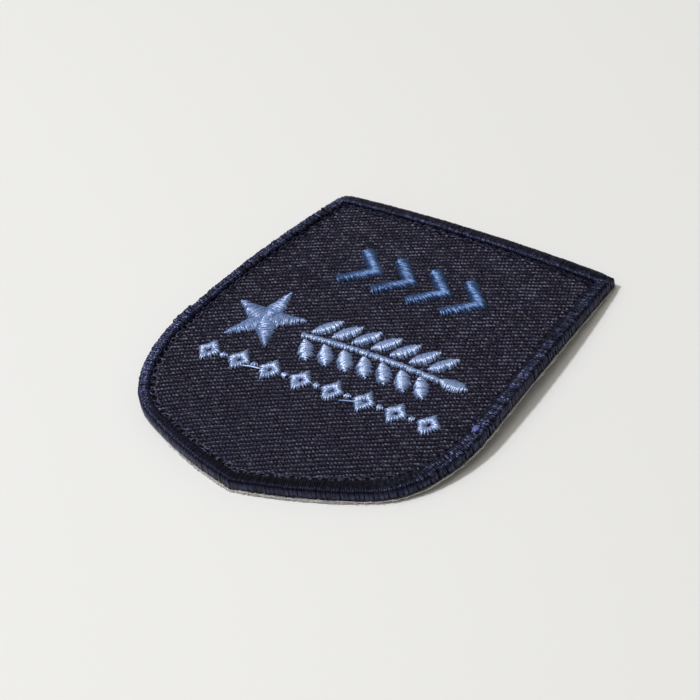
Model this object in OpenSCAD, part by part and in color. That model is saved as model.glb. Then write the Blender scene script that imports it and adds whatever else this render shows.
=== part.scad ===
// Shield-shaped embroidered clothing patch, lying face up on a table.
// A twill field is bonded to a pale heat-seal film and edged with a thick stitched border.
// On the field are a five-pointed star, a row of chevrons, a laurel branch and a row of
// open lozenges with round dots between them, all in raised satin stitch.
// The patch is curled: its foot and its two top corners rest, and its middle arches clear.
// X runs across the shield, Y from its foot to its top edge, Z up from the table.
// The origin is on the table under the middle of the shield's outline.

/* [Shield outline] */
// Width of the shield where it is widest
shield_w = 59; // [56:0.2:62]
// Height of the shield, from the point of its foot to its top edge
shield_h = 64; // [61:0.5:68]
// Width of the top edge
top_w = 51.4; // [48:0.2:53]
// Length that the rounding takes off each side of a top corner
corner_cut = 0.8; // [0.6:0.1:1.5]
// Height of the widest place above the foot
widest_up = 25.5; // [24:0.5:28]
// Width of the shield where its rounded lower corners begin to turn sharply
knee_w = 55; // [53:0.2:56]
// Height of that place above the foot
knee_up = 13.8; // [12.8:0.2:14.8]
// Width where they run out into the sloping foot
heel_w = 40; // [38:0.5:42]
// Height of that place above the foot
heel_up = 6.4; // [5.8:0.1:7]

/* [Curl of the patch] */
// Rise of the middle of the shield over the line from its foot to its top edge
arch_h = 1.65; // [1.45:0.05:2.5]
// Rise of the middle of the top edge over its two corners
top_lift = 1.05; // [0.3:0.05:1.25]
// How much steeper the patch falls to its foot than to its top edge
lean = 0.1; // [0:0.05:0.4]
// Drop of the two flanks below the middle, halfway up the shield
flank_droop = 0.4; // [0:0.05:0.6]
// Extra drop of the two lower corners
heel_droop = 0.5; // [0:0.05:0.8]

/* [Layers] */
// Thickness of the heat-seal film
film_t = 0.2; // [0.15:0.05:0.4]
// Thickness of the twill with its stabiliser
cloth_t = 1; // [1:0.1:1.3]
// Distance from the edge of the film to the cut edge of the cloth
cloth_inset = 0.35; // [0.3:0.05:0.5]
// Gap between pieces that lie on each other
seat = 0.08; // [0.06:0.01:0.12]

/* [Border] */
// Width of the stitched border, from the edge of the film to its needle holes
border_w = 2.6; // [2.2:0.1:3]
// Height of the border's ridge over the cloth
border_rise = 0.85; // [0.6:0.05:1.1]
// How far the border's stitches wrap down over the cut edge of the cloth
border_wrap = 0.65; // [0.4:0.05:0.8]
// Length of the place where the border's end is stitched over its start
overlap_len = 3.4; // [2.5:0.1:4]
// Place of its upper end along the shield
overlap_y = -3.5; // [-5:0.1:-2]
// Thickness of that second layer of stitches
overlap_t = 0.3; // [0.2:0.05:0.4]
// Length of the tie-off knot on the border
knot_l = 1.4; // [1:0.1:1.8]

/* [Star] */
// Distance from the star's middle to its tips
star_r = 6.7; // [6:0.1:7]
// Distance from its middle to its inner corners
star_inner_r = 2.8; // [2.5:0.1:3.2]
// Place of its middle across the shield
star_x = -16.6; // [-17:0.1:-16]
// Place of its middle along the shield
star_y = -0.4; // [-0.8:0.1:0.4]

/* [Chevrons] */
// Number of chevrons
chevrons = 4; // [2:1:4]
// Height of a chevron
chevron_h = 9.5; // [9:0.1:10]
// Depth of a chevron, from its open end to its point
chevron_d = 4.4; // [4:0.1:4.6]
// Width of its two satin limbs
limb_w = 2.1; // [1.6:0.1:2.2]
// Distance from one chevron to the next
chevron_pitch = 6.5; // [6.4:0.1:6.8]
// Place of the first chevron's open end across the shield
chevron_x = -13.4; // [-14:0.1:-13]
// Place of the row along the shield
chevron_y = 16.3; // [16:0.1:17]

/* [Laurel branch] */
// Number of leaves, in pairs with one at the tip
leaves = 15; // [13:2:15]
// Length of a leaf
leaf_l = 5; // [4.5:0.1:5.2]
// Width of a leaf
leaf_w = 2.4; // [1.8:0.1:2.4]
// Angle between a leaf and the stem
leaf_angle = 52; // [48:1:56]
// Distance from one pair of leaves to the next
leaf_pitch = 3.55; // [3.5:0.05:3.7]
// Width of the stem
stem_w = 1; // [0.8:0.1:1.1]
// Start of the stem across the shield
stem_x = -9; // [-9.5:0.1:-9]
// Place of the stem's start along the shield
stem_y = -1.2; // [-1.4:0.1:-1]
// Rise of the stem's middle over its ends
stem_bow = 0.5; // [0:0.1:0.8]

/* [Lozenge row] */
// Number of open lozenges
lozenges = 8; // [4:1:8]
// Width of a lozenge
lozenge_w = 4.3; // [4:0.1:4.4]
// Height of a lozenge
lozenge_h = 4.6; // [4.2:0.1:4.8]
// Width of its satin stroke
lozenge_stroke = 1.15; // [0.9:0.05:1.2]
// Distance from one lozenge to the next
lozenge_pitch = 5.85; // [5.8:0.05:5.9]
// Diameter of the round dots between them
dot_d = 1.1; // [0.9:0.1:1.2]
// Place of the row along the shield
lozenge_y = -9.8; // [-10:0.1:-9.6]

/* [Satin stitch] */
// Height of the widest satin stitches over the cloth
satin_rise = 0.5; // [0.4:0.05:0.6]
// Height of the narrow ones
fine_rise = 0.38; // [0.3:0.02:0.45]

/* [Hidden] */

half_w = shield_w / 2;
half_h = shield_h / 2;
foot_y = -half_h;
cloth_bottom = film_t + seat;
cloth_top = cloth_bottom + cloth_t;
stitch_base = cloth_top + seat;
corner_droop = top_lift * pow(shield_w / top_w, 2);

// Right half of the outline, from the middle of the top edge down to the foot.
// Each row is [x, y, bulge of the line to the next row, steps to the next row].
OUTLINE = [
    [0, half_h, 0, 6],
    [top_w / 2 - corner_cut, half_h, corner_cut / 4, 2],
    [top_w / 2, half_h - corner_cut, 0.38, 10],
    [half_w, foot_y + widest_up, 0.72, 4],
    [knee_w / 2, foot_y + knee_up, 1, 5],
    [heel_w / 2, foot_y + heel_up, 0.66, 7],
    [0, foot_y, 0, 0]
];
SIDE_ROW = 2;

// Places of a sheet's inner rings, as shares of the way from its middle to the outline
SHEET_RINGS = [0.14, 0.28, 0.42, 0.57, 0.72, 0.86];

// Profile of a satin mound, as [share of its outline, share of its height]
MOUND = [[0.93, 0], [1, 0.32], [0.84, 0.7], [0.5, 0.94]];

// Profile of a satin line from its right edge over its crest to its left edge,
// as [share of its half width, share of its height]
SATIN_LINE = [[0.95, 0], [1, 0.3], [0.7, 0.82], [0, 1], [-0.7, 0.82], [-1, 0.3], [-0.95, 0]];

// Directions and offsets

function unit(v) = v / norm(v);
function right_of(v) = [v.y, -v.x];
function mirrored(p) = [-p.x, p.y];

// Point at share t of a line from p to q that bulges to its left by the given height
function bulged(p, q, bulge, t) =
    p + (q - p) * t - right_of(unit(q - p)) * bulge * 4 * t * (1 - t);

// Step to the right of a path at its point i, lengthened where the path turns a corner
function step_right(path, i, closed) =
    let (
        n = len(path),
        before = closed || i > 0 ? path[i] - path[(i + n - 1) % n] : path[1] - path[0],
        after = closed || i < n - 1 ? path[(i + 1) % n] - path[i] : before,
        first = right_of(unit(before)),
        mean = unit(first + right_of(unit(after)))
    ) mean / (mean * first);

// The closed path moved to its right by a distance
function moved_right(path, distance) =
    [for (i = [0:len(path) - 1]) path[i] + step_right(path, i, true) * distance];

// The shield's outline, clockwise from the middle of the top edge

function row_xy(row) = [row[0], row[1]];
function row_point(k, t) = bulged(row_xy(OUTLINE[k]), row_xy(OUTLINE[k + 1]), OUTLINE[k][2], t);
right_side = [
    for (k = [0:len(OUTLINE) - 2], j = [0:OUTLINE[k][3] - 1]) row_point(k, j / OUTLINE[k][3])
];
shield = [
    each right_side,
    [0, foot_y],
    for (k = [len(right_side) - 1:-1:1]) mirrored(right_side[k])
];

// Point of the outline's right side at a height along the shield
function side_point(y) =
    let (k = y > OUTLINE[SIDE_ROW + 1][1] ? SIDE_ROW : SIDE_ROW + 1)
    row_point(k, (OUTLINE[k][1] - y) / (OUTLINE[k][1] - OUTLINE[k + 1][1]));

// Height of the underside of the film over the table
function lift(p) =
    let (u = p.x / half_w, v = p.y / half_h, v2 = v * v)
    (1 - v2) * (arch_h - lean * v) + top_lift * (1 + v) / 2
    - u * u * (flank_droop + (corner_droop - flank_droop) * v2 + heel_droop * v2 * (1 - v) / 2);

function placed(p, h) = [p.x, p.y, lift(p) + h];

// A closed solid over rings of equal length, listed from its start to its end.
// Without poles, its two ends are covered from each ring's first and last points inwards.
// A closed one joins its last ring to its first.
module skin(rings, poles = [], closed = false) {
    n = len(rings[0]);
    m = len(rings);
    sides = [
        for (j = [0:m - (closed ? 1 : 2)], i = [0:n - 1])
            let (a = j * n, b = (j + 1) % m * n, k = (i + 1) % n)
            each [[a + i, a + k, b + k], [a + i, b + k, b + i]]
    ];
    last = (m - 1) * n;
    fans = [
        for (i = [0:n - 1])
            let (k = (i + 1) % n)
            each [[m * n, k, i], [m * n + 1, last + i, last + k]]
    ];
    cover = [
        for (i = [0:ceil(n / 2) - 2])
            let (j = n - 1 - i)
            each [[i, i + 1, j], if (i + 1 < j - 1) [i + 1, j - 1, j]]
    ];
    covers = [for (face = cover) each [[face[2], face[1], face[0]], face + [1, 1, 1] * last]];
    ends = closed ? [] : len(poles) == 2 ? fans : covers;
    polyhedron([for (ring = rings) each ring, each poles], concat(sides, ends));
}

// A curled sheet out to its edge rings, from one height to another over the film's underside.
// All sheets share their other rings, so that they lie evenly on each other.
module sheet(edges, bottom, top) {
    flat = [for (share = SHEET_RINGS) [for (p = shield) p * share], each edges];
    last = len(flat) - 1;
    underside = [for (k = [0:last]) [for (p = flat[k]) placed(p, bottom)]];
    face = [for (k = [last:-1:0]) [for (p = flat[k]) placed(p, top)]];
    skin(concat(underside, face), [placed([0, 0], bottom), placed([0, 0], top)]);
}

// A raised mound of satin stitch inside a clockwise outline around its middle
module satin_mound(middle, outline, base, rise) {
    rings = [
        for (row = MOUND) [for (p = outline) placed(middle + p * row[0], base + rise * row[1])]
    ];
    skin(rings, [placed(middle, base), placed(middle, base + rise)]);
}

// A raised line of satin stitch along a path
module satin_line(path, width, rise, closed = false) {
    rings = [
        for (i = [0:len(path) - 1])
            let (side = step_right(path, i, closed) * width / 2)
            [for (row = SATIN_LINE) placed(path[i] + side * row[0], stitch_base + rise * row[1])]
    ];
    skin(rings, closed = closed);
}

// Layers of the patch

cloth_edge = moved_right(shield, cloth_inset);

module backing_film() {
    color("#d9d8d2") sheet([cloth_edge, shield], 0, film_t);
}

module field_cloth() {
    color("#1c1b2b") sheet([cloth_edge], cloth_bottom, cloth_top);
}

// Ridge of the border as [distance in from the edge, height over the film's underside],
// from the inner foot over the crest to the outer wall
border_edge = 0.04;
ridge_half_w = (border_w - border_edge) / 2;
function ridge(growth) = [
    for (a = [0:20:180])
        [
            border_edge + ridge_half_w + (ridge_half_w + growth) * cos(a),
            stitch_base + (border_rise + growth) * sin(a)
        ]
];

module border() {
    wall_low = stitch_base - border_wrap;
    profile = [
        each ridge(0),
        [border_edge, wall_low],
        [cloth_inset - seat, wall_low],
        [cloth_inset - seat, stitch_base]
    ];
    rings = [
        for (i = [0:len(shield) - 1])
            let (inward = step_right(shield, i, true))
            [for (row = profile) placed(shield[i] + inward * row[0], row[1])]
    ];
    color("#20203f") skin(rings, closed = true);
}

// The border's end, stitched over its start on the left side
module border_overlap() {
    path = [for (k = [0:4]) mirrored(side_point(overlap_y - overlap_len * (1 - k / 4)))];
    // The second layer lies over the inner slope and the crest, short of the outer wall
    outer = [for (row = ridge(overlap_t)) if (row[0] > overlap_t) row];
    under = [for (row = ridge(seat)) if (row[0] > overlap_t) row];
    profile = [each outer, for (k = [len(under) - 1:-1:0]) under[k]];
    rings = [
        for (i = [0:len(path) - 1])
            let (inward = step_right(path, i, false))
            [for (row = profile) placed(path[i] + inward * row[0], row[1])]
    ];
    color("#2c2c55") skin(rings);
}

module tie_off_knot() {
    middle = [half_w - ridge_half_w - 0.3, foot_y + widest_up - 1.6];
    outline = [for (a = [0:36:324]) [knot_l * 0.36 * cos(a), -knot_l / 2 * sin(a)]];
    crest = stitch_base + border_rise + seat;
    color("#6a6bb0") satin_mound(middle, outline, crest, knot_l * 0.4);
}

// Embroidery on the field

module star() {
    corners = [
        for (k = [0:9])
            let (r = k % 2 == 0 ? star_r : star_inner_r)
            r * [cos(90 - 36 * k), sin(90 - 36 * k)]
    ];
    outline = [
        for (k = [0:9], t = [0, 1 / 3, 2 / 3]) corners[k] * (1 - t) + corners[(k + 1) % 10] * t
    ];
    color("#8fa8dc") satin_mound([star_x, star_y], outline, stitch_base, satin_rise);
}

module chevron(k) {
    // The satin's centre line keeps half a limb inside the chevron's height
    end = [chevron_x + chevron_pitch * (k - 1) + limb_w / 2, chevron_h / 2 - limb_w / 3];
    tip = [end.x + chevron_d, 0];
    upper = [for (t = [0, 1 / 3, 2 / 3]) end * (1 - t) + tip * t];
    lower = [for (j = [2:-1:0]) [upper[j].x, -upper[j].y]];
    path = [for (p = concat(upper, [tip], lower)) p + [0, chevron_y]];
    color("#4f7cc4") satin_line(path, limb_w, satin_rise);
}

// Point of the stem at a distance along the shield from its start
stem_l = leaf_pitch * (leaves - 1) / 2 + 0.6;
function stem_point(x) = [stem_x + x, stem_y + stem_bow * 4 * x * (stem_l - x) / pow(stem_l, 2)];

module laurel_stem() {
    path = [for (k = [0:12]) stem_point(stem_l * k / 12)];
    color("#9db3e2") satin_line(path, stem_w, fine_rise);
}

// Leaves come in pairs, the odd ones over the stem and the even ones under it.
// The last one goes on from the stem's end.
module leaf(k) {
    at_tip = k == leaves;
    side = at_tip ? 0 : k % 2 == 1 ? 1 : -1;
    root = stem_point(at_tip ? stem_l : leaf_pitch * floor((k - 1) / 2) + 0.5);
    forward = [cos(leaf_angle * side), sin(leaf_angle * side)];
    // A leaf starts clear of the stem's edge or of its end
    clear = at_tip ? 0.15 : (stem_w / 2 + 0.2) / sin(leaf_angle) + leaf_w / 8;
    middle = root + forward * (clear + leaf_l / 2);
    outline = [
        for (a = [0:30:330])
            forward * leaf_l / 2 * cos(a)
            + right_of(forward) * leaf_w / 2 * sin(a) * (1 - pow(cos(a), 4) * 0.5)
    ];
    color("#b4c5ee") satin_mound(middle, outline, stitch_base, satin_rise);
}

// Middle of a lozenge, where a half number gives the dot between two of them
function lozenge_middle(k) = [(k - (lozenges + 1) / 2) * lozenge_pitch, lozenge_y];

module lozenge(k) {
    reach = [lozenge_w, lozenge_h] / 2 - [1, 1] * lozenge_stroke * 0.7;
    corners = [[0, reach.y], [reach.x, 0], [0, -reach.y], [-reach.x, 0]];
    path = [
        for (j = [0:3], t = [0, 0.5])
            lozenge_middle(k) + corners[j] * (1 - t) + corners[(j + 1) % 4] * t
    ];
    color("#a3b8e6") satin_line(path, lozenge_stroke, fine_rise, closed = true);
}

module dot(k) {
    outline = [for (a = [0:36:324]) dot_d / 2 * [cos(a), -sin(a)]];
    color("#a3b8e6") satin_mound(lozenge_middle(k + 0.5), outline, stitch_base, fine_rise);
}

backing_film();
field_cloth();
border();
border_overlap();
tie_off_knot();
star();
for (k = [1:chevrons]) chevron(k);
laurel_stem();
for (k = [1:leaves]) leaf(k);
for (k = [1:lozenges]) lozenge(k);
for (k = [1:lozenges - 1]) dot(k);
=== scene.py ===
"""A shield-shaped embroidered patch, lying face up and slightly curled on a pale table.

Every stitch and yarn that shows is a thread of its own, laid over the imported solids.
Sizes are in millimetres, and placed() turns them into metres on the curled patch.
"""

import math

import bpy
import numpy as np
from mathutils import Matrix, Vector, kdtree


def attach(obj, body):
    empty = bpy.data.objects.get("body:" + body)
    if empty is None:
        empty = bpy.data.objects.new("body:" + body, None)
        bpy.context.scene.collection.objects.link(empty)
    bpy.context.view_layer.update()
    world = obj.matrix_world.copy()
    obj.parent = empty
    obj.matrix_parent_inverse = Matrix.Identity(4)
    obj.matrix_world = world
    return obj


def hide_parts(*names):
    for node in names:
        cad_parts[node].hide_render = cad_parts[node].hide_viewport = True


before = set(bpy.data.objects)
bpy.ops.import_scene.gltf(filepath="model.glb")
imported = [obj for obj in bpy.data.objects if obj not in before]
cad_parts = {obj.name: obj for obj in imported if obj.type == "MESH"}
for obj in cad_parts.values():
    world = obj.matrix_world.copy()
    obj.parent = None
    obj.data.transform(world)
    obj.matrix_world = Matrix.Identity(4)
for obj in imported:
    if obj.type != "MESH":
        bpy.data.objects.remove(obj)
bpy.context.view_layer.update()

MM = 0.001
chance = np.random.default_rng(7)

# Outline and curl of the patch, as its solids have them, except that the two top corners
# are cut less here

shield_w = 59
shield_h = 64
top_w = 51.4
corner_cut = 0.3
widest_up = 25.5
knee_w = 55
knee_up = 13.8
heel_w = 40
heel_up = 6.4

arch_h = 1.65
top_lift = 1.05
lean = 0.1
flank_droop = 0.4
heel_droop = 0.5

film_t = 0.2
cloth_t = 1
cloth_inset = 0.35
# Gap between a piece and the one it lies on
seat = 0.08

half_w = shield_w / 2
half_h = shield_h / 2
foot_y = -half_h
cloth_bottom = film_t + seat
cloth_top = cloth_bottom + cloth_t
stitch_base = cloth_top + seat
corner_droop = top_lift * (shield_w / top_w) ** 2

# Right half of the outline from the middle of the top edge down to the foot:
# x, y and the bulge of the line to the next row
OUTLINE = (
    (0, half_h, 0),
    (top_w / 2 - corner_cut, half_h, corner_cut / 4),
    (top_w / 2, half_h - corner_cut, 0.38),
    (half_w, foot_y + widest_up, 0.72),
    (knee_w / 2, foot_y + knee_up, 1),
    (heel_w / 2, foot_y + heel_up, 0.66),
    (0, foot_y, 0),
)


def unit(ways):
    """Ways brought to a length of 1."""
    return ways / np.linalg.norm(ways, axis=-1, keepdims=True)


def towards(degrees):
    """The way at an angle from X, in the plane of the cloth."""
    angle = math.radians(degrees)
    return np.array([math.cos(angle), math.sin(angle)])


def left_of(ways):
    """Ways in the plane of the cloth, turned a quarter to the left."""
    return np.stack([-ways[..., 1], ways[..., 0]], axis=-1)


def in_space(ways):
    """Ways in the plane of the cloth as ways in space."""
    return np.concatenate([ways, np.zeros((*ways.shape[:-1], 1))], axis=-1)


def along_line(distances, places, line):
    """Points at distances along a line whose own points lie at places along it."""
    return np.stack([np.interp(distances, places, line[:, k]) for k in (0, 1)], axis=-1)


def bulged(start, end, bulge, shares):
    """Points on a line from start to end that bulges to its left."""
    line = np.subtract(end, start)
    rise = 4 * shares * (1 - shares) * bulge
    return np.array(start) + np.outer(shares, line) + np.outer(rise, left_of(unit(line)))


def outline(step):
    """The shield's outline, clockwise from the middle of its top edge."""
    right = []
    for (x, y, bulge), (next_x, next_y, _) in zip(OUTLINE, OUTLINE[1:]):
        count = max(3, round(math.dist((x, y), (next_x, next_y)) / step))
        shares = np.arange(count) / count
        right.append(bulged((x, y), (next_x, next_y), bulge, shares))
    right = np.vstack(right)
    left = right[:0:-1] * (-1, 1)
    return np.vstack([right, [(0, foot_y)], left])


def lift(x, y):
    """Height of the film's underside over the table."""
    u = x / half_w
    v = y / half_h
    long_arch = (1 - v**2) * (arch_h - lean * v) + top_lift * (1 + v) / 2
    droop = flank_droop + (corner_droop - flank_droop) * v**2 + heel_droop * v**2 * (1 - v) / 2
    return long_arch - u**2 * droop


def placed(points, heights):
    """Points of the flat patch at heights over the film's underside, in metres."""
    points = np.asarray(points, float)
    z = lift(points[..., 0], points[..., 1]) + heights
    return np.stack([points[..., 0], points[..., 1], z], axis=-1) * MM


# The outline by its length, for all that runs along the edge
edge_pitch = 0.1
edge = outline(edge_pitch)
edge_ends = np.vstack([edge, edge[:1]])
edge_steps = np.linalg.norm(np.diff(edge_ends, axis=0), axis=1)
edge_length = edge_steps.sum()
edge_places = np.concatenate([[0], np.cumsum(edge_steps)])


def edge_point(distance):
    """Points of the outline at distances clockwise from the middle of the top edge."""
    return along_line(np.mod(distance, edge_length), edge_places, edge_ends)


def edge_direction(distance):
    """Clockwise direction of the outline, rounded over its corners."""
    rounding = 0.25
    return unit(edge_point(distance + rounding) - edge_point(distance - rounding))


side_rows = edge[(edge[:, 0] > 0) & (edge[:, 1] < half_h - corner_cut) & (edge[:, 1] > 0)]


def inside_edge(distance, inset):
    """Points inset from the outline, which meet in the inner corners and don't cross."""
    start = edge_point(distance)
    point = start - left_of(edge_direction(distance)) * np.asarray(inset)[..., None]
    near_foot = np.abs(start[..., 0]) < np.asarray(inset)
    low = near_foot & (start[..., 1] < 0)
    point[..., 0] = np.where(low & (point[..., 0] * start[..., 0] < 0), 0, point[..., 0])
    side_x = np.interp(-point[..., 1], -side_rows[:, 1], side_rows[:, 0])
    high = start[..., 1] > half_h - 3 * np.asarray(inset) - corner_cut
    reach = np.where(high, side_x - np.asarray(inset), half_w)
    point[..., 0] = np.clip(point[..., 0], -reach, reach)
    point[..., 1] = np.where(high, np.minimum(point[..., 1], half_h - inset), point[..., 1])
    return point


def nearest(points, targets):
    """Which target lies nearest to each point, and how far off."""
    tree = kdtree.KDTree(len(targets))
    for k, (x, y) in enumerate(targets):
        tree.insert((x, y, 0), k)
    tree.balance()
    found = [tree.find((x, y, 0)) for x, y in points]
    return np.array([row[1] for row in found]), np.array([row[2] for row in found])


def inset_of(points):
    """How far points lie inside the outline, negative outside it."""
    rim_pitch = 0.25
    places = np.arange(0, edge_length, rim_pitch)
    rim = edge_point(places)
    inward = -left_of(edge_direction(places))
    k, gap = nearest(points, rim)
    return np.sign(((points - rim[k]) * inward[k]).sum(axis=1)) * gap


# Modelling


def deselect():
    bpy.ops.object.select_all(action="DESELECT")


def new_object(name, data):
    """A new object in the scene, with its mesh, camera or light."""
    made = bpy.data.objects.new(name, data)
    bpy.context.scene.collection.objects.link(made)
    return made


def linear(hex_colour):
    """An sRGB hex colour as linear red, green, blue and alpha."""
    parts = [int(hex_colour[k : k + 2], 16) / 255 for k in (1, 3, 5)]
    return (*[p / 12.92 if p <= 0.04045 else ((p + 0.055) / 1.055) ** 2.4 for p in parts], 1)


def add_node(tree, kind, inputs=None, **settings):
    """Adds a shader node with its settings, and sets or links its inputs."""
    node = tree.nodes.new("ShaderNode" + kind)
    for name, value in settings.items():
        setattr(node, name, value)
    for name, value in (inputs or {}).items():
        if isinstance(value, bpy.types.NodeSocket):
            tree.links.new(value, node.inputs[name])
        else:
            node.inputs[name].default_value = value
    return node


def maths(tree, operation, *values):
    """What a maths node makes of one value or two."""
    return add_node(tree, "Math", dict(enumerate(values)), operation=operation).outputs[0]


def mapped(tree, value, low, high, to_low, to_high):
    """A value mapped from one range onto another, and held inside it."""
    inputs = {0: value, 1: low, 2: high, 3: to_low, 4: to_high}
    return add_node(tree, "MapRange", inputs).outputs[0]


def mixed(tree, factor, dark, bright):
    """A colour between two hex colours."""
    inputs = {"Factor": factor, "A": linear(dark), "B": linear(bright)}
    return add_node(tree, "Mix", inputs, data_type="RGBA").outputs["Result"]


def new_material(name, **inputs):
    """A material of one Principled shader, with its tree and that shader."""
    material = bpy.data.materials.new(name)
    material.use_nodes = True
    shader = material.node_tree.nodes["Principled BSDF"]
    for key, value in inputs.items():
        shader.inputs[key.replace("_", " ")].default_value = value
    return material, material.node_tree, shader


# Sides of a thread's section: more of them where it is thick
thick_sides = 6
stitch_sides = 5
yarn_sides = 4
fibre_sides = 3


def stitch_blank(sides, rings):
    """One straight thread, 1 in radius and 1 long along Z, with its rings of points.

    "ring" is the ring of each point, and "around" and "corner" belong to its UV map."""
    deselect()
    bpy.ops.mesh.primitive_cylinder_add(vertices=sides, radius=1, depth=1, location=(0, 0, 0.5))
    blank = bpy.context.object
    bpy.ops.object.transform_apply(location=True)
    bpy.ops.object.mode_set(mode="EDIT")
    bpy.ops.mesh.select_mode(type="EDGE")
    bpy.ops.mesh.select_all(action="DESELECT")
    bpy.ops.object.mode_set(mode="OBJECT")
    points = blank.data.vertices
    # The lines that run up the thread are cut into rings
    for line in blank.data.edges:
        low, high = (points[k].co.z for k in line.vertices)
        line.select = abs(high - low) > 0.5
    bpy.ops.object.mode_set(mode="EDIT")
    bpy.ops.mesh.subdivide(number_cuts=rings - 2)
    bpy.ops.object.mode_set(mode="OBJECT")
    mesh = blank.data
    co = np.array([v.co for v in mesh.vertices])
    shape = {
        "across": co[:, 0],
        "up": co[:, 1],
        "ring": np.rint(co[:, 2] * (rings - 1)).astype(int),
        "faces": [list(f.vertices) for f in mesh.polygons],
        "around": np.array([loop.uv.x for loop in mesh.uv_layers.active.data]),
        "corner": np.array([loop.vertex_index for loop in mesh.loops]),
    }
    bpy.data.objects.remove(blank)
    return shape


def lay_threads(name, blank, paths, side, half_width, half_height, shade=None):
    """Copies of a thread blank, each laid along its own path of points in metres.

    side points across each thread. The UV map holds the distance along the thread in
    millimetres and the share of the way round it. The attribute "shade" holds one number
    for each thread, or for each of its rings.
    """
    count, rings, _ = paths.shape
    along = unit(np.gradient(paths, axis=1))
    side = np.broadcast_to(side, paths.shape)
    up = unit(np.cross(side, along))
    ring = blank["ring"]
    width = np.broadcast_to(half_width, (count, rings))[:, ring, None] * MM
    height = np.broadcast_to(half_height, (count, rings))[:, ring, None] * MM
    across = blank["across"][None, :, None]
    over = blank["up"][None, :, None]
    points = paths[:, ring] + side[:, ring] * width * across - up[:, ring] * height * over
    points_each = len(ring)
    faces = [
        [corner + points_each * k for corner in face] for k in range(count) for face in blank["faces"]
    ]
    mesh = bpy.data.meshes.new(name)
    mesh.from_pydata(points.reshape(-1, 3), [], faces)
    gone = np.cumsum(np.linalg.norm(np.diff(paths, axis=1), axis=2), axis=1) / MM
    gone = np.concatenate([np.zeros((count, 1)), gone], axis=1)
    start = chance.uniform(0, 3, (count, 1))
    u = (gone + start)[:, ring[blank["corner"]]]
    v = np.broadcast_to(blank["around"], u.shape)
    mesh.uv_layers.new(name="thread").data.foreach_set("uv", np.stack([u, v], -1).ravel())
    if shade is None:
        shade = chance.uniform(0, 1, count)
    shade = np.broadcast_to(np.reshape(shade, (count, -1)), (count, rings))[:, ring]
    shades = mesh.attributes.new("shade", "FLOAT", "POINT")
    shades.data.foreach_set("value", shade.ravel().astype(np.float32))
    mesh.polygons.foreach_set("use_smooth", np.ones(len(faces), bool))
    mesh.validate()
    return new_object(name, mesh)


def padding_of(node, inset):
    """The padding under a satin shape: a copy of its solid, a little smaller."""
    deselect()
    padding = new_object(node + "_padding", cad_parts[node].data.copy())
    padding.select_set(True)
    bpy.context.view_layer.objects.active = padding
    bpy.ops.object.mode_set(mode="EDIT")
    bpy.ops.mesh.select_all(action="SELECT")
    bpy.ops.mesh.remove_doubles(threshold=0.00001)
    bpy.ops.transform.shrink_fatten(value=-inset * MM)
    bpy.ops.object.mode_set(mode="OBJECT")
    return padding


def joined(name, *parts):
    """One object of several, under a name of its own."""
    deselect()
    for part in parts:
        part.select_set(True)
    bpy.context.view_layer.objects.active = parts[0]
    bpy.ops.object.join()
    made = bpy.context.object
    made.name = name
    made.data.name = name
    return made


def finish_piece(piece, material, slot, *nodes):
    """Gives a piece its material, puts it on the patch and hides the solids it replaces. slot is not
    used.
    """
    piece.data.materials.clear()
    piece.data.materials.append(material)
    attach(piece, "root")
    if nodes:
        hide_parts(*nodes)
    return piece


# Camera and light

view_azimuth = math.radians(43.49)
view_elevation = math.radians(37.93)
view_roll = math.radians(11.73)
view_distance = 571
lens_mm = 195.9
# The patch lies a little right of and under the middle of the picture
aim_right = -1.24
aim_up = 2.1


def place_camera():
    """The view: a long lens that looks down at the patch from its lower right."""
    sin_a, cos_a = math.sin(view_azimuth), math.cos(view_azimuth)
    sin_e, cos_e = math.sin(view_elevation), math.cos(view_elevation)
    level = Vector((cos_a, sin_a, 0))
    upright = Vector((-sin_a * sin_e, cos_a * sin_e, cos_e))
    back = Vector((sin_a * cos_e, -cos_a * cos_e, sin_e))
    right = level * math.cos(view_roll) - upright * math.sin(view_roll)
    up = level * math.sin(view_roll) + upright * math.cos(view_roll)
    data = bpy.data.cameras.new("camera")
    data.lens = lens_mm
    data.clip_start = 0.01
    data.clip_end = 20
    camera = new_object("camera", data)
    aim = (right * aim_right + up * aim_up) * MM
    turn = Matrix((right, up, back)).transposed().to_4x4()
    camera.matrix_world = Matrix.Translation(aim + back * view_distance * MM) @ turn
    bpy.context.scene.camera = camera


def place_light(name, azimuth, elevation, distance, size, power, colour):
    """A square soft light, aimed at the patch from a direction round it.

    Its distance and its size are in metres."""
    a, e = math.radians(azimuth), math.radians(elevation)
    way = Vector((math.cos(a) * math.cos(e), math.sin(a) * math.cos(e), math.sin(e)))
    data = bpy.data.lights.new(name, "AREA")
    data.size = size
    data.energy = power
    data.color = linear(colour)[:3]
    lamp = new_object(name, data)
    lamp.location = way * distance
    lamp.rotation_euler = way.to_track_quat("Z", "Y").to_euler()


def place_stage():
    """The view, the sun, the sky in the window, the pale room and the table."""
    place_camera()
    place_light(
        "sun_in_window", azimuth=220, elevation=65, distance=1, size=0.11, power=5.75, colour="#fbfdff"
    )
    place_light(
        "bright_sky", azimuth=220, elevation=74, distance=1.15, size=1.2, power=5.35, colour="#fbf9f0"
    )
    sky = bpy.data.worlds.new("studio")
    sky.use_nodes = True
    background = sky.node_tree.nodes["Background"]
    background.inputs["Color"].default_value = linear("#f2eedd")
    background.inputs["Strength"].default_value = 0.3
    bpy.context.scene.world = sky
    # A plain tone curve, which leaves black black
    bpy.context.scene.view_settings.view_transform = "Standard"

    # Smooth laminate: matt and near white
    material, _, shader = new_material("table_laminate", Roughness=0.55)
    shader.inputs["Base Color"].default_value = linear("#e7e7ea")
    deselect()
    bpy.ops.mesh.primitive_plane_add(size=6)
    table = bpy.context.object
    table.name = "table"
    table.data.materials.append(material)


place_stage()

# Materials


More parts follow.
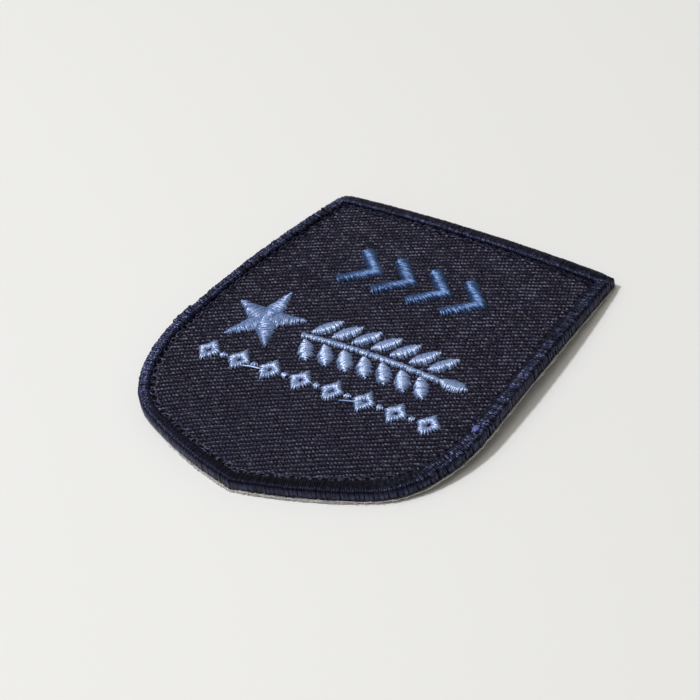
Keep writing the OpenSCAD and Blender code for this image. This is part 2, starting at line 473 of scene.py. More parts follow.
def thread_material(name, dark, bright, ior, roughness, tint="#ffffff", slack=0):
    """Embroidery thread: two plies twisted together, dull where the thread runs towards
    the light and glossy where it lies across it, with a groove at each turn of the twist.

    slack is how much rougher its slackest plies are."""
    material, tree, shader = new_material(name, Roughness=roughness)
    shader.inputs["IOR"].default_value = ior
    shader.inputs["Specular Tint"].default_value = linear(tint)
    # The filaments spread the gloss across the thread and not along it
    shader.inputs["Anisotropic"].default_value = 0.8
    shader.inputs["Anisotropic Rotation"].default_value = 0.25
    along = add_node(tree, "Tangent", direction_type="UV_MAP", uv_map="thread")
    tree.links.new(along.outputs[0], shader.inputs["Tangent"])
    place = add_node(tree, "UVMap", uv_map="thread")
    split = add_node(tree, "SeparateXYZ", {0: place.outputs[0]})
    turns = maths(tree, "MULTIPLY", split.outputs[0], 1 / ply_turn)
    phase = maths(tree, "ADD", turns, split.outputs[1])
    wave = maths(tree, "SINE", maths(tree, "MULTIPLY", phase, 2 * math.pi))
    plies = maths(tree, "ABSOLUTE", wave)
    shade = add_node(tree, "Attribute", attribute_name="shade").outputs["Fac"]
    colour = mixed(tree, shade, dark, bright)
    spread = mapped(tree, shade, 0, 1, roughness + slack, roughness)
    tree.links.new(spread, shader.inputs["Roughness"])
    # Tight plies shine more than slack ones
    gloss = mapped(tree, shade, 0, 1, *gloss_range)
    tree.links.new(gloss, shader.inputs["Specular IOR Level"])
    # Painted shade: the colour is darkened in the groove between the plies, besides the bump
    painted_groove_shade = mapped(tree, plies, 0, 0.5, ply_groove_painted_shade, 1)
    tone = add_node(tree, "VectorMath", {0: colour, "Scale": painted_groove_shade}, operation="SCALE")
    tree.links.new(tone.outputs[0], shader.inputs["Base Color"])
    relief = {"Height": plies, "Distance": ply_depth * MM, "Strength": 1}
    bump = add_node(tree, "Bump", relief)
    tree.links.new(bump.outputs["Normal"], shader.inputs["Normal"])
    return material


# One turn of the plies along a thread, and the depth of the groove between them
ply_turn = 0.75
ply_depth = 0.018
# Painted shade in the groove between the plies, as the share of the colour left there, and the gloss
# of the slackest and of the tightest plies
ply_groove_painted_shade = 0.6
gloss_range = (0.08, 1.25)

navy_thread = thread_material(
    "navy_polyester_thread", "#08080e", "#292a48", ior=2, roughness=0.34, tint="#b0baff", slack=0.06
)
loop_thread = thread_material(
    "slate_needle_thread", "#17182a", "#5c5b7a", ior=1.5, roughness=0.4, tint="#ccccff"
)
light_thread = thread_material(
    "light_blue_rayon_thread", "#5e7ab2", "#94addc", ior=3, roughness=0.42, tint="#d0dcff"
)
middle_thread = thread_material(
    "middle_blue_rayon_thread", "#203a62", "#2b4874", ior=2.8, roughness=0.42, tint="#a0c0ff"
)
lilac_thread = thread_material(
    "lilac_polyester_thread", "#5257a0", "#7f84cc", ior=1.5, roughness=0.35
)


def yarn_material(name, dark, bright):
    """Spun cotton yarn: matt, with single yarns and patches of about 4 mm a little paler."""
    material, tree, shader = new_material(name, Roughness=0.7)
    shader.inputs["Specular IOR Level"].default_value = 0.2
    shade = add_node(tree, "Attribute", attribute_name="shade").outputs["Fac"]
    spot = add_node(tree, "TexCoord").outputs["Object"]
    patches = add_node(tree, "TexNoise", {"Vector": spot, "Scale": 250, "Detail": 3})
    level = mapped(tree, patches.outputs["Fac"], 0.3, 0.7, 0.75, 1.25)
    tone = maths(tree, "MULTIPLY", shade, level)
    tree.links.new(mixed(tree, tone, dark, bright), shader.inputs["Base Color"])
    return material


warp_yarn = yarn_material("navy_cotton_warp", "#0c0b1b", "#1a1934")
weft_yarn = yarn_material("grey_cotton_weft", "#292839", "#716f89")

# Ground of the twill: its near black is partly its dark dye and partly painted shade, where it shows
# in the gaps of the weave, in holes and at the cut edge
ground_yarn_and_gap_shade, _, ground_shader = new_material("dark_cotton_ground_and_painted_shade", Roughness=0.9)
ground_shader.inputs["Base Color"].default_value = linear("#0c0a10")
ground_shader.inputs["Specular IOR Level"].default_value = 0.1

# Polyethylene heat-seal film: milky and a little waxy
film_material, _, film_shader = new_material("milky_heat_seal_film", Roughness=0.4)
film_shader.inputs["Base Color"].default_value = linear("#a8a5a3")

# Torn film at the edge, drawn out into pale fibres
fibre_material, _, fibre_shader = new_material("torn_film_fibre", Roughness=0.6)
fibre_shader.inputs["Base Color"].default_value = linear("#d0ccca")

# Sheets

film_inset = 0.16
weave_relief = 0.12
sheet_pitch = 0.6
# Rings of a sheet as shares of its outline, closest together at the edge
SHEET_RINGS = (0.995, 0.985, 0.96, 0.92, 0.86, 0.79, 0.71, 0.62, 0.52, 0.42, 0.31, 0.2, 0.1)


def sheet(name, inset, bottom, top):
    """A curled sheet, built from its outline inwards."""
    count = round(edge_length / sheet_pitch)
    places = np.arange(count) * edge_length / count
    rim = inside_edge(places, np.full(count, inset))
    deselect()
    bpy.ops.mesh.primitive_circle_add(vertices=count, radius=1)
    made = bpy.context.object
    for point, (x, y) in zip(made.data.vertices, rim):
        point.co = (x * MM, y * MM, 0)
    bpy.ops.object.mode_set(mode="EDIT")
    bpy.ops.mesh.select_all(action="SELECT")
    for share, before in zip(SHEET_RINGS, [1, *SHEET_RINGS]):
        bpy.ops.mesh.extrude_edges_move()
        ratio = share / before
        bpy.ops.transform.resize(value=(ratio, ratio, 1), center_override=(0, 0, 0))
    bpy.ops.mesh.edge_face_add()
    bpy.ops.mesh.poke()
    bpy.ops.mesh.select_all(action="SELECT")
    bpy.ops.mesh.normals_make_consistent(inside=False)
    bpy.ops.object.mode_set(mode="OBJECT")
    for point in made.data.vertices:
        x, y = point.co.x / MM, point.co.y / MM
        point.co.z = (lift(x, y) + top) * MM
    if sum(face.normal.z for face in made.data.polygons) < 0:
        made.data.flip_normals()
    solid = made.modifiers.new("wall", "SOLIDIFY")
    solid.thickness = (top - bottom) * MM
    solid.offset = -1
    bpy.ops.object.modifier_apply(modifier="wall")
    bpy.ops.object.shade_smooth_by_angle(angle=math.radians(40))
    made.name = name
    return made


film = sheet("heat_seal_film", film_inset, 0, film_t)
finish_piece(film, film_material, "heat_seal_film", "backing_film")

ground = sheet("twill_ground", cloth_inset, cloth_bottom, cloth_top - weave_relief)
finish_piece(ground, ground_yarn_and_gap_shade, "twill", "field_cloth")

# Needle holes: a row of them runs round the field, along the border's inner foot

hole_pitch = 1.6
hole_r = 0.3
# Distance of the row from the outline at the middle of the top edge and at the foot
hole_row_inset = 2.65
# It lies this much further in at the right, and as much less at the left
right_inset = 0.3
# And this much more at the lower right
heel_inset = 0.7
# From the row of holes to the foot of the border's ridge
foot_gap = 0.55


def hole_inset(point):
    """Distance of the row of holes from the outline, widest at the lower right."""
    u = point[..., 0] / half_w
    v = point[..., 1] / half_h
    return hole_row_inset + right_inset * u + heel_inset * np.maximum(u, 0) * np.maximum(-v, 0)


def even_row(line, pitch):
    """Points about a pitch apart along a closed line."""
    ends = np.vstack([line, line[:1]])
    gone = np.concatenate([[0], np.cumsum(np.linalg.norm(np.diff(ends, axis=0), axis=1))])
    count = round(gone[-1] / pitch)
    # Each one strays by up to this share of the pitch
    stray = 0.15
    places = (np.arange(count) + chance.uniform(-stray, stray, count)) * gone[-1] / count
    return along_line(places, gone, ends)


fine_places = np.arange(0, edge_length, edge_pitch)
hole_line = inside_edge(fine_places, hole_inset(edge_point(fine_places)))
holes = even_row(hole_line, hole_pitch)

# Twill: the warp runs along X and floats over three weft yarns, then dives under one

warp_pitch = 0.2515
weft_pitch = 0.446
# One yarn further in each direction, in millimetres: the cloth lies a little askew
weft_step = np.array([weft_pitch, 0.001])
warp_step = np.array([0.0287, warp_pitch])
weft_way = unit(weft_step)
warp_way = unit(warp_step)
# The pattern comes again after this many yarns, in both directions
twill_repeat = 4
# Half the length of a warp float, in weft yarns
float_reach = 1.72
yarn_half_height = 0.09
fleck_half_length = 0.22
fleck_half_width = 0.26
# The weft's fibres are twisted across the yarn, and its flecks look slanted
fleck_slant = np.array([0.85, -0.5])
# Heights along a float and along a fleck, over the top of the cloth
float_heights = (-0.2, -0.06, -0.06, -0.2)
fleck_heights = (-0.17, -0.06, -0.17)


def strayed(points):
    """Points of the weave where its yarns have strayed a little from their lines."""
    x, y = points.T
    along = 0.04 * np.sin(1.3 * x + 0.7 * y) + 0.03 * np.sin(0.6 * x - 2.1 * y + 1)
    aside = 0.04 * np.sin(0.5 * x + 1.1 * y + 2) + 0.03 * np.sin(1.7 * x - 0.8 * y)
    return points + np.stack([along, aside], axis=-1)


def in_field(points, ends):
    """Which yarns lie inside the border's foot and clear of the needle holes.

    points are their middles, ends the way from there to each end."""
    inside = inset_of(points) > hole_inset(points) - foot_gap
    # Looked at in its middle and near both of its ends
    for share in (-0.7, 0, 0.7):
        _, gap = nearest(points + share * ends, holes)
        inside &= gap > hole_r
    return inside


def weave_contrast(points):
    """How far the weave's flecks stand out: least at the middle of the foot."""
    u, v = points[:, 0] / half_w, points[:, 1] / half_h
    return np.clip(0.8 + 0.45 * v + 0.8 * u**2, 0, 1.25)


def lay_yarns(name, middles, half_length, across, heights, half_width, shade):
    """Short floats of yarn on the cloth, each over its own middle."""
    shares = np.linspace(-1, 1, len(heights))
    wander = chance.normal(0, 0.04, (len(middles), 1, 2))
    stretch = chance.uniform(0.7, 1.2, (len(middles), 1, 1))
    points = middles[:, None, :] + shares[None, :, None] * half_length * stretch + wander
    levels = cloth_top + np.array(heights) + chance.normal(0, 0.012, (len(middles), 1))
    blank = stitch_blank(yarn_sides, len(heights))
    widths = half_width * chance.uniform(0.7, 1.15, (len(middles), 1))
    paths = placed(points, levels)
    return lay_threads(name, blank, paths, in_space(across), widths, yarn_half_height, shade)


def lay_warp(floats, tone):
    """The dark warp where it lies on top; tone is that of each float's own yarn."""
    half_float = weft_way * float_reach * weft_pitch
    kept = in_field(floats, half_float)
    shade = 0.4 * tone[kept] + 0.6 * chance.uniform(0, 1, kept.sum())
    shade += 0.25 * (1 - weave_contrast(floats[kept]))
    name = "twill_warp_floats"
    warp = lay_yarns(name, floats[kept], half_float, warp_way, float_heights, warp_pitch / 2, shade)
    return finish_piece(warp, warp_yarn, "twill")


def lay_weft(flecks, tone):
    """The paler weft, which shows in flecks between the floats; tone is as for the warp."""
    half_fleck = fleck_slant * fleck_half_length
    across = -unit(weft_step + warp_step)
    kept = in_field(flecks, half_fleck)
    # Most flecks are dull and a few are bright
    contrast = weave_contrast(flecks[kept])
    bright = 0.85 * chance.uniform(0, 1, kept.sum()) ** 1.8 * (0.5 + tone[kept])
    shade = 0.1 + 0.2 * (1 - contrast) + bright * contrast
    name = "twill_weft_flecks"
    weft = lay_yarns(name, flecks[kept], half_fleck, across, fleck_heights, fleck_half_width, shade)
    return finish_piece(weft, weft_yarn, "twill")


def weave_twill():
    """The twill's pattern, one float and one fleck to each of its crossings."""
    # Some yarns more than fit, because the cloth lies askew
    spare = 10
    across = int(half_w / weft_pitch) + spare
    along = int(half_h / warp_pitch) + spare
    i, j = np.meshgrid(np.arange(-across, across), np.arange(-along, along))
    i, j = i.ravel(), j.ravel()
    crossing = (i - j) % twill_repeat == 0
    i, j = i[crossing], j[crossing]
    flecks = np.outer(i, weft_step) + np.outer(j, warp_step)
    # Each float has its middle half way between two flecks
    floats = strayed(flecks + twill_repeat / 2 * weft_step)
    flecks = strayed(flecks)
    weft_tone = chance.uniform(0, 1, 2 * across)[i + across]
    warp_tone = chance.uniform(0, 1, 2 * along)[j + along]
    return lay_warp(floats, warp_tone), lay_weft(flecks, weft_tone)


warp, weft = weave_twill()

# Border

border_w = 2.6
border_rise = 0.85
# The wraps go straight down from the first of these depths to the second
border_turn = 0.15
border_wrap = 0.9
border_edge = 0.04
wrap_pitch = 0.36
wrap_half_width = 0.23
wrap_half_height = 0.1
core_half_h = 0.52
# How much narrower than the ridge the padding is on each side, and how far in it is moved
core_margin = 0.3
core_shift = 0.05
loop_r = 0.55
loop_half_width = 0.13
loop_half_height = 0.09
loop_rings = 13
# The ridge sinks by this at the top corners, and so far round them
corner_sink = 0.4
corner_reach = 1.3
# Share of the ridge's height that a stitch loses where it is caught down, and how wide
dent_depth = 0.25
dent_width = 0.11
overlap_len = 3.4
overlap_y = -3.5
overlap_t = 0.3

# A wrap's line over the ridge, from its inner foot to its outer wall: the share of the
# width it has left, and its height as a share of the crest's
wrap_turns = np.radians(np.linspace(-10, 168, 15))
wrap_across = ((1 + np.cos(wrap_turns)) / 2) ** 1.35
wrap_rise = np.abs(np.sin(wrap_turns)) ** np.where(wrap_turns < math.pi / 2, 0.65, 0.6)
wrap_height = np.where(wrap_turns < 0, -0.3, wrap_rise)
wrap_rings = len(wrap_turns) + 2


def border_core():
    """The cord of padding under the border's wraps, closed along the outline."""
    # As many rings as the torus can have
    count = 256
    sides = 10
    deselect()
    bpy.ops.mesh.primitive_torus_add(major_segments=count, minor_segments=sides)
    core = bpy.context.object
    places = np.repeat(np.arange(count) * edge_length / count, sides)
    turns = np.tile(np.arange(sides) * 2 * math.pi / sides, count)
    foot = hole_inset(edge_point(places)) - foot_gap
    half_width = foot / 2 - core_margin
    points = inside_edge(places, foot / 2 + core_shift + half_width * np.cos(turns))
    cord = placed(points, stitch_base + core_half_h * np.sin(turns))
    core.data.vertices.foreach_set("co", cord.ravel())
    bpy.ops.object.mode_set(mode="EDIT")
    bpy.ops.mesh.select_all(action="SELECT")
    bpy.ops.mesh.normals_make_consistent(inside=False)
    bpy.ops.object.mode_set(mode="OBJECT")
    bpy.ops.object.shade_smooth()
    return core


def wrap_shades(places):
    """Shades along each of the border's stitches: random specks, with painted shade and painted light
    laid over them by where each stitch lies on the edge.
    """
    count = len(places)
    across, upward = np.hsplit(edge_direction(places), 2)
    loose = np.abs(upward)
    high = 2 * edge_point(places)[:, 1:] / half_h
    # Painted shade along the foot, and less of it along the top: the stitches there are made dark and
    # dull
    painted_shade_foot_top = np.clip(-across, 0, 1) ** 1.5 * 0.97 + np.clip(across, 0, 1) ** 4 * 0.5
    specks_and_painted_shading = chance.uniform(0.1, 1, (count, wrap_rings)) ** 1.8 * (1 - painted_shade_foot_top)
    specks_and_painted_shading *= chance.uniform(0.1 + 0.4 * (1 - loose), 1, (count, 1))
    # Painted shade on the right, towards the top
    specks_and_painted_shading *= 1 - 0.55 * np.clip(-upward, 0, 1) * np.clip(high, 0, 1)
    # Painted light low on the left, where the border faces the lamps
    painted_light_low_left = np.clip(upward, 0, 1) ** 2 * np.clip(-high, 0, 1)
    specks_and_painted_shading += 0.6 * painted_light_low_left * chance.uniform(0, 1, (count, wrap_rings))
    # Painted light on the ends of the stitches, down the cut edge, most of all on the left
    painted_light_on_wall = 0.25 + 0.5 * np.clip(upward, 0, 1)
    specks_and_painted_shading[:, -3:] = chance.uniform(0.3, 1.7, (count, 3)) * painted_light_on_wall * np.array([0.3, 0.7, 1.3])
    return specks_and_painted_shading


def lay_wraps(name, places, grown=0):
    """Zigzag stitches over the ridge at places along the edge, down to the cut edge.

    grown is how far they lie over the first layer of the border."""
    count = len(places)
    rim = edge_point(places)
    foot = hole_inset(rim) - foot_gap + grown / 2
    outer = border_edge + wrap_half_height - grown / 2 + chance.uniform(0, 0.1, (count, 1))
    inset = outer + (foot[:, None] - outer) * wrap_across
    # Along the sides each stitch is caught down near its middle, and its plies lie uneven
    loose = np.abs(edge_direction(places)[:, 1:])
    dent_at = chance.normal(0.5, 0.05, (count, 1))
    dent = 1 - dent_depth * loose * np.exp(-(((wrap_across - dent_at) / dent_width) ** 2))
    crest = border_rise - wrap_half_height + grown + chance.normal(0, 1, (count, 1)) * (
        0.02 + 0.03 * loose
    )
    # The stitches have no room at the two top corners
    corner_gap = np.hypot(np.abs(rim[:, :1]) - top_w / 2, rim[:, 1:] - half_h)
    crest -= corner_sink * np.exp(-((corner_gap / corner_reach) ** 2))
    level = stitch_base + wrap_height * dent * crest
    wall = stitch_base - np.array([border_turn, border_wrap])
    inset = np.hstack([inset, outer, outer])
    level = np.hstack([level, np.tile(wall, (count, 1))])
    way = np.where(np.arange(count) % 2 == 0, 1, -1)
    slant = (way * wrap_pitch)[:, None] * (0.15 + 0.3 * loose)
    slant += chance.normal(0, 1, (count, 1)) * (0.03 + 0.09 * loose)
    distance = places[:, None] + slant * np.linspace(-0.5, 0.5, wrap_rings)
    paths = placed(inside_edge(distance, inset), level)
    sides = in_space(-edge_direction(distance))
    swell = 1 + loose * chance.uniform(-0.35, 0.3, (count, wrap_rings))
    blank = stitch_blank(stitch_sides, wrap_rings)
    half_width, half_height = wrap_half_width * swell, wrap_half_height * swell
    return lay_threads(name, blank, paths, sides, half_width, half_height, wrap_shades(places))


def sew_border():
    """The stitches all round the edge, an even number of them, over their padding."""
    count = round(edge_length / wrap_pitch / 2) * 2
    places = np.arange(count) * edge_length / count + chance.normal(0, 0.03, count)
    piece = joined("stitched_border", lay_wraps("border_wraps", places), border_core())
    finish_piece(piece, navy_thread, "border_thread", "border")


def left_place(y):
    """Distance along the outline of a point of its left side."""
    left = edge[:, 0] < 0
    return np.interp(y, edge[left, 1], edge_places[:-1][left])


def sew_overlap():
    """Where the border's last stitches go over its first ones."""
    start, end = left_place(overlap_y - overlap_len), left_place(overlap_y)
    count = round((end - start) / wrap_pitch)
    places = np.linspace(start, end, count) + chance.normal(0, 0.05, count)
    piece = lay_wraps("border_overlap_wraps", places, overlap_t)
    finish_piece(piece, navy_thread, "border_thread", "border_overlap")


def sew_hole_row():
    """A ring of thread round each needle hole, drawn flat where the cloth is tight."""
    count = len(holes)
    ahead = unit(np.roll(holes, -1, axis=0) - np.roll(holes, 1, axis=0))
    outward = left_of(ahead)
    turns = np.linspace(0, 2 * math.pi, loop_rings)
    round_hole = np.cos(turns)[None, :, None] * outward[:, None]
    past_hole = np.sin(turns)[None, :, None] * ahead[:, None]
    slack = np.clip(0.3 - 1.2 * holes[:, 1:] / half_h, 0.3, 1)[..., None]
    reach = (loop_r + chance.normal(0, 0.08, (count, 1, 1))) * slack
    stretch = hole_pitch * chance.uniform(0.32, 0.48, (count, 1, 1))
    wander = chance.normal(0, 0.035, (count, loop_rings, 2))
    middle = holes[:, None] + outward[:, None] * (1 - slack) * 0.3 + wander
    points = middle + round_hole * reach + past_hole * stretch
    wander = chance.normal(0, 0.025, (count, loop_rings))
    levels = cloth_top + 0.06 + 0.1 * np.cos(turns) + wander
    # Painted shade: the rings are made darkest on the right and towards the top, where the border
    # hides them
    specks_and_painted_shading = chance.uniform(0, 1, (count, loop_rings)) ** 1.3
    specks_and_painted_shading *= np.clip(1 - 0.9 * holes[:, :1] / half_w, 0.1, 1)
    specks_and_painted_shading *= np.clip(0.65 - 0.8 * holes[:, 1:] / half_h, 0.4, 1)
    swell = chance.uniform(0.5, 1.35, (count, loop_rings))
    loops = lay_threads(
        "needle_hole_loops",
        stitch_blank(thick_sides, loop_rings),
        placed(points, levels),
        in_space(round_hole + past_hole),
        loop_half_width * swell,
        loop_half_height * swell,
        specks_and_painted_shading,
    )
    finish_piece(loops, loop_thread, "border_thread")


sew_border()
sew_overlap()
sew_hole_row()

# The thread's end, tied off on the crest of the border

knot_l = 1.4
knot_half_width = 0.19
knot_half_height = 0.16
knot_rings = 9
# Angle of each loop, and its half length as a share of the knot's length
KNOT_LOOPS = ((75, 0.5), (110, 0.42), (20, 0.3), (150, 0.32), (90, 0.36))
# Depth of a loop's ends in the border, its rise over them, and the step to the next loop
knot_root = 0.15
knot_rise = 0.3
knot_step = 0.02
knot_middle = np.array([half_w - (border_w - border_edge) / 2 - 0.3, foot_y + widest_up - 1.6])


def tie_off():
    """A few loops of thread, pulled tight one over the other."""
    turns = np.linspace(0, math.pi, knot_rings)
    blank = stitch_blank(thick_sides, knot_rings)
    loops = []
    for angle, reach in KNOT_LOOPS:
        way = towards(angle)
        points = knot_middle - np.outer(np.cos(turns) * knot_l * reach, way)
        levels = stitch_base + border_rise - knot_root + knot_rise * np.sin(turns)
        levels += knot_step * len(loops)
        side = in_space(left_of(way))
        path = placed(points, levels)[None]
        loops.append(
            lay_threads("knot_loop", blank, path, side, knot_half_width, knot_half_height)
        )
    finish_piece(joined("tie_off_loops", *loops), lilac_thread, "knot_thread", "tie_off_knot")


tie_off()

# Satin stitch

satin_rise = 0.5
fine_rise = 0.38
satin_pitch = 0.32
satin_half_width = 0.115
satin_half_height = 0.09
satin_rings = 11
# How deep a stitch's ends go, and how much smaller than its solid the padding is
satin_root = 0.14
padding_inset = 0.1


def along_rail(rail, shares):
    """Points at shares of the way along a rail, by its rows."""
    return along_line(shares, np.linspace(0, 1, len(rail)), rail)


def satin(name, left, right, rise, shades=(0.45, 1.3)):
    """Zigzag stitches between two rails, over padding, up to the height of a solid.

    shades is the range from which each ring of a stitch draws its own shade."""
    left, right = np.asarray(left, float), np.asarray(right, float)
    middle = (left + right) / 2
    lengths = np.linalg.norm(np.diff(middle, axis=0), axis=1)
    places = np.concatenate([[0], np.cumsum(lengths)]) / lengths.sum()
    count = max(4, round(lengths.sum() / satin_pitch * 2))
    way = np.interp(np.linspace(0, 1, count + 1), places, np.linspace(0, 1, len(middle)))
    ends = np.where(
        (np.arange(count + 1) % 2 == 0)[:, None], along_rail(left, way), along_rail(right, way)
    )
    ends = ends + chance.normal(0, 0.07, ends.shape)
    start, end = ends[:-1], ends[1:]
    width = np.linalg.norm(end - start, axis=1)
    shares = (1 - np.cos(np.linspace(0, math.pi, satin_rings))) / 2
    points = start[:, None] + (end - start)[:, None] * shares[None, :, None]
    arch = 1 - np.abs(2 * shares - 1) ** 2.8
    # Short stitches stand lower
    crest = rise * np.minimum(1, 0.45 + width / 2.5)[:, None] - satin_half_height
    uneven = chance.normal(0, 0.02, (count, 1)) + chance.normal(0, 0.028, (count, satin_rings))
    levels = stitch_base - satin_root + arch * (crest + satin_root) + uneven
    side = in_space(left_of(unit(end - start)))[:, None]
    blank = stitch_blank(stitch_sides, satin_rings)
    paths = placed(points, levels)
    shade = chance.uniform(*shades, (count, satin_rings))
    return lay_threads(name, blank, paths, side, satin_half_width, satin_half_height, shade)


def satin_piece(node, *threads, material=light_thread, slot="light_blue_thread"):
    """Joins satin stitches with their padding, in place of a solid."""
    piece = joined("satin_" + node, *threads, padding_of(node, padding_inset))
    return finish_piece(piece, material, slot, node)


def rails_of(path, width, closed=False):
    """Two rails along a path, mitred at its corners."""
    path = np.asarray(path, float)
    before = path - np.roll(path, 1, axis=0)
    after = np.roll(path, -1, axis=0) - path
    if not closed:
        before[0] = after[0]
        after[-1] = before[-1]
    first = unit(before)
    mean = unit(first + unit(after))
    stretch = (mean * first).sum(axis=1, keepdims=True)
    step = left_of(mean) / stretch * width / 2
    left, right = path + step, path - step
    if closed:
        left, right = np.vstack([left, left[:1]]), np.vstack([right, right[:1]])
    return left, right


# Star

star_points = 5
star_r = 6.7
star_inner_r = 2.8
star_middle = np.array([-16.6, -0.4])


def sew_star():
    """The star's points, each a kite of stitches that lie across it."""
    half_turn = math.radians(180 / star_points)
    waist = star_inner_r * math.cos(half_turn)
    waist_half_w = star_inner_r * math.sin(half_turn)
    # Root, waist and tip of a point: distance from the star's middle, and half width
    rows = ((-0.5, 0.9), (waist, waist_half_w), (star_r, 0.16))
    arms = []
    for k in range(star_points):
        out = towards(90 + 360 / star_points * k)
        across = left_of(out)
        left = [star_middle + out * s + across * w for s, w in rows]
        right = [star_middle + out * s - across * w for s, w in rows]
        arms.append(satin("star_arm", left, right, satin_rise, shades=(-0.25, 1)))
    satin_piece("star", *arms)


sew_star()

# Chevrons

chevrons = 4
chevron_h = 9.5
chevron_d = 4.4
limb_w = 2.1
chevron_pitch = 6.5
chevron_x = -13.4
chevron_y = 16.3


def sew_chevrons():
    """Chevrons one after the other, their points to the right."""
    for k in range(chevrons):
        end_x = chevron_x + chevron_pitch * k + limb_w / 2
        # The centre line keeps half a limb inside the chevron's height
        end_y = chevron_h / 2 - limb_w / 3
        path = [
            (end_x, chevron_y + end_y),
            (end_x + chevron_d, chevron_y),
            (end_x, chevron_y - end_y),
        ]
        left, right = rails_of(path, limb_w)
        satin_piece(
            f"chevron_{k + 1}",
            satin("chevron", left, right, satin_rise, shades=(0, 1)),
            material=middle_thread,
            slot="mid_blue_thread",
        )


sew_chevrons()

# Laurel branch

leaves = 15
leaf_l = 5
leaf_w = 2.4
leaf_angle = 52
leaf_pitch = 3.55
leaf_rows = 15
# Gap between a leaf and the stem's side, and between the last leaf and the stem's end
leaf_gap = 0.2
tip_gap = 0.15
stem_w = 1
stem_rows = 12
stem_x = -9
stem_y = -1.2
stem_bow = 0.5
stem_l = leaf_pitch * (leaves - 1) / 2 + 0.6


def stem_point(x):
    """The point of the bowed stem at x from its root."""
    return np.array([stem_x + x, stem_y + stem_bow * 4 * x * (stem_l - x) / stem_l**2])


def sew_branch():
    """A bowed stem with leaves by turns on either side of it, and one at its tip."""
    path = [stem_point(stem_l * k / stem_rows) for k in range(stem_rows + 1)]
    left, right = rails_of(path, stem_w)
    satin_piece("laurel_stem", satin("stem", left, right, fine_rise))
    for k in range(1, leaves + 1):
        at_tip = k == leaves
        side = 0 if at_tip else 1 if k % 2 else -1
        root = stem_point(stem_l if at_tip else leaf_pitch * ((k - 1) // 2) + 0.5)
        forward = towards(leaf_angle * side)
        across = left_of(forward)
        clear = tip_gap
        if not at_tip:
            clear = (stem_w / 2 + leaf_gap) / math.sin(math.radians(leaf_angle)) + leaf_w / 8
        middle = root + forward * (clear + leaf_l / 2)
        turns = np.radians(np.linspace(176, 4, leaf_rows))
        reach = np.outer(leaf_l / 2 * np.cos(turns), forward)
        half = leaf_w / 2 * np.sin(turns) * (1 - np.cos(turns) ** 4 * 0.5)
        half = np.maximum(half, 0.12)
        left = middle + reach + np.outer(half, across)
        right = middle + reach - np.outer(half, across)
        satin_piece(f"leaf_{k}", satin("leaf", left, right, satin_rise))


sew_branch()

# Lozenges with dots between them

lozenges = 8
lozenge_w = 4.3
lozenge_h = 4.6
lozenge_stroke = 1.15
lozenge_pitch = 5.85
dot_d = 1.1
dot_rows = 7
lozenge_y = -9.8


def lozenge_middle(k):
    """The middle of a lozenge, or at a half number that of the dot between two of them."""
    return np.array([(k - (lozenges + 1) / 2) * lozenge_pitch, lozenge_y])


def sew_lozenges():
    """A row of open lozenges, and a dot between each two of them."""
    # Centre line of the stroke, which reaches 0.7 of its width further at each corner
    reach_x = lozenge_w / 2 - lozenge_stroke * 0.7
    reach_y = lozenge_h / 2 - lozenge_stroke * 0.7
    corners = np.array([(0, reach_y), (reach_x, 0), (0, -reach_y), (-reach_x, 0)])
    for k in range(1, lozenges + 1):
        left, right = rails_of(lozenge_middle(k) + corners, lozenge_stroke, closed=True)
        satin_piece(f"lozenge_{k}", satin("lozenge", left, right, fine_rise))
    for k in range(1, lozenges):
        middle = lozenge_middle(k + 0.5)
        turns = np.radians(np.linspace(170, 10, dot_rows))
        reach = dot_d / 2 * np.cos(turns)
        half = dot_d / 2 * np.sin(turns)
        left = middle + np.stack([reach, half], axis=-1)
        right = middle + np.stack([reach, -half], axis=-1)
        satin_piece(f"dot_{k}", satin("dot", left, right, fine_rise))


sew_lozenges()

# Jump threads between small motifs, lint, and film torn into fibres along the edge

# Start and end of each jump thread
JUMPS = (((-13.6, -10.9), (-9.9, -10.3)), ((5.2, -11.2), (9.4, -10.1)))
jump_half_width = 0.14
jump_half_height = 0.12
jump_rings = 7
# Height of its ends over the stitches' base, and of its middle over its ends
jump_level = 0.12
jump_rise = 0.16

# Pieces of lint thrown at the patch: those that miss the field are left out
lint_tries = 2400
lint_rings = 4
lint_half_height = 0.03

# Fibres of torn film along each of two stretches of the edge
film_fibres = 150
film_fibre_r = 0.05
film_fibre_low = 0.06
film_fibre_rings = 6

# Lint on the cloth: pale grey, matt, short fibres
lint_fibre, _, lint_shader = new_material("grey_cotton_lint", Roughness=0.8)
lint_shader.inputs["Base Color"].default_value = linear("#666678")
lint_shader.inputs["Specular IOR Level"].default_value = 0.2


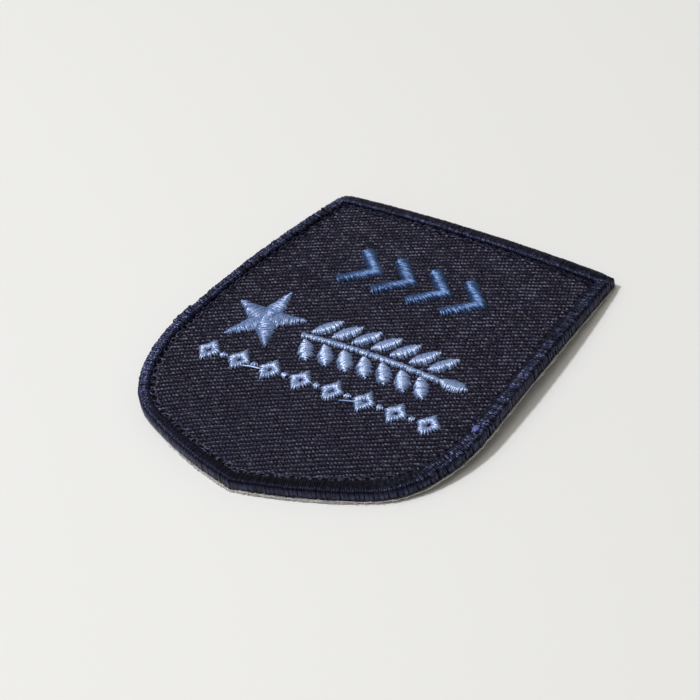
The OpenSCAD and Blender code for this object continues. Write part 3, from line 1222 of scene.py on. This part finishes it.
def lay_jumps():
    """The thread's way from one small motif to the next, left uncut."""
    shares = np.linspace(0, 1, jump_rings)
    blank = stitch_blank(thick_sides, jump_rings)
    threads = []
    for start, end in JUMPS:
        way = np.subtract(end, start)
        points = np.array(start) + np.outer(shares, way)
        levels = stitch_base + jump_level + jump_rise * np.sin(shares * math.pi)
        side = in_space(left_of(unit(way)))
        path = placed(points, levels)[None]
        threads.append(lay_threads("jump", blank, path, side, jump_half_width, jump_half_height))
    finish_piece(joined("jump_threads", *threads), light_thread, "light_blue_thread")


def scatter_lint():
    """Short loose fibres all over the field, bent and lying every way."""
    edge_clear = 0.4
    middle = chance.uniform((-half_w, -half_h), (half_w, half_h), (lint_tries, 2))
    middle = middle[inset_of(middle) > border_w + edge_clear]
    count = len(middle)
    heading = chance.uniform(0, math.pi, count)
    way = np.stack([np.cos(heading), np.sin(heading)], axis=-1)[:, None]
    aside = left_of(way)
    shares = np.linspace(-1, 1, lint_rings)[None, :, None]
    half_length = chance.uniform(0.12, 0.4, (count, 1, 1))
    bend = chance.normal(0, 0.1, (count, 1, 1))
    points = middle[:, None] + way * shares * half_length + aside * bend * shares**2
    levels = cloth_top + chance.uniform(-0.02, 0.05, (count, 1)) + np.zeros((count, lint_rings))
    blank = stitch_blank(fibre_sides, lint_rings)
    half_width = chance.uniform(0.02, 0.04, (count, 1))
    paths = placed(points, levels)
    piece = lay_threads("cotton_lint", blank, paths, in_space(aside), half_width, lint_half_height)
    finish_piece(piece, lint_fibre, "twill")


def fray_film():
    """Pale fibres along the film's edge, most of them at the foot."""
    # Half of them gather to the right of the foot, and half lie all along the right side
    gathered = chance.normal(edge_length / 2 - 5, 8, film_fibres)
    places = np.append(gathered, chance.uniform(0.12, 0.55, film_fibres) * edge_length)
    count = len(places)
    reach = chance.uniform(0.3, 1, (count, 1))
    shares = np.linspace(-1, 1, film_fibre_rings)
    insets = chance.normal(0, 0.1, (count, film_fibre_rings)) + 0.03
    levels = chance.uniform(0.05, 0.4, (count, 1))
    levels = levels + chance.normal(0, 0.04, (count, film_fibre_rings))
    distance = places[:, None] + reach * shares
    # None of them reaches down to the film's underside
    paths = placed(inside_edge(distance, insets), np.maximum(levels, film_fibre_low))
    blank = stitch_blank(fibre_sides, film_fibre_rings)
    piece = lay_threads("frayed_film", blank, paths, (0, 0, 1), film_fibre_r, film_fibre_r)
    finish_piece(piece, fibre_material, "heat_seal_film")


lay_jumps()
scatter_lint()
fray_film()
